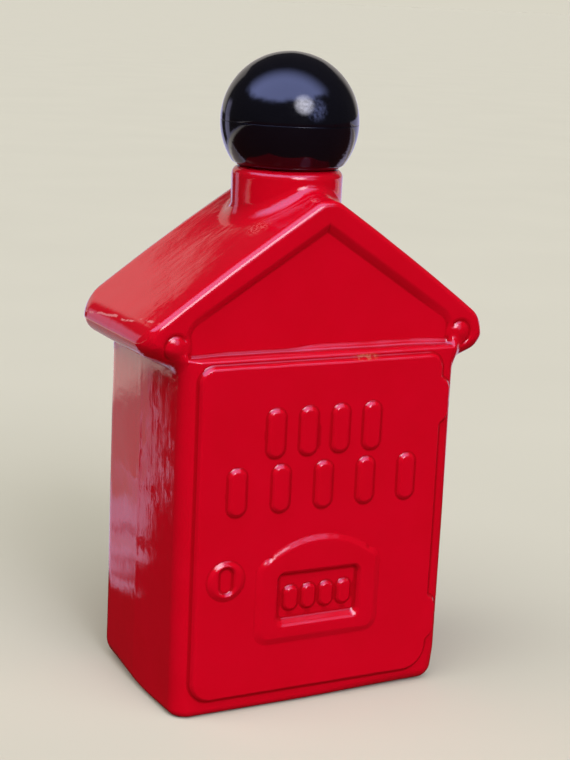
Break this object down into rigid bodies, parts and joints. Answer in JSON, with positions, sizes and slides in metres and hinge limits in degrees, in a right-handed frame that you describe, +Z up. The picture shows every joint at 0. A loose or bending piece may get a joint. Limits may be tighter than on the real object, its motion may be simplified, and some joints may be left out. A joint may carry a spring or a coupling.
{
  "type": "fire alarm box shaped bottle",
  "caption": "Red lacquered glass bottle shaped like a gabled street fire alarm box, closed by a black ball-shaped screw cap over a threaded neck.",
  "frame": {"origin": "middle of the bottle's outline in plan, on the plane it stands on; the neck's axis is 0.8 mm behind it", "axes": "+Z up along the neck, -Y out of the moulded door face, +X to the door's right as seen from the front"},
  "size_m": [0.0736, 0.041, 0.1247],
  "materials": {
    "lacquered_glass": "opaque glossy red lacquer over moulded glass",
    "natural_polyethylene": "natural translucent white, satin",
    "liner_foam": "matt white foam",
    "closure_plastic": "satin black moulded",
    "cap_plastic": "high-gloss black moulded",
    "label_paper": "plain uncoated paper"
  },
  "bodies": {
    "bottle": {"glass_bottle": "lacquered_glass", "pour_plug": "natural_polyethylene", "base_label": "label_paper"},
    "liner": {"cap_liner": "liner_foam"},
    "cap": {"cap_thread_insert": "closure_plastic", "cap_upper_shell": "cap_plastic", "cap_lower_shell": "cap_plastic"}
  },
  "joints": [
    {"name": "cap_lift", "type": "slide", "parent": "bottle", "child": "liner", "axis": [0, 0, 1], "range_m": [0, 0.004]},
    {"name": "cap_turn", "type": "hinge", "parent": "liner", "child": "cap", "pos_m": [0, 0.0008, 0.1113], "axis": [0, 0, 1], "range_deg": [0, 450]}
  ],
  "couplings": [
    {"joint": "cap_lift", "follows": "cap_turn", "m_per_rad": 0.00050929}
  ]
}
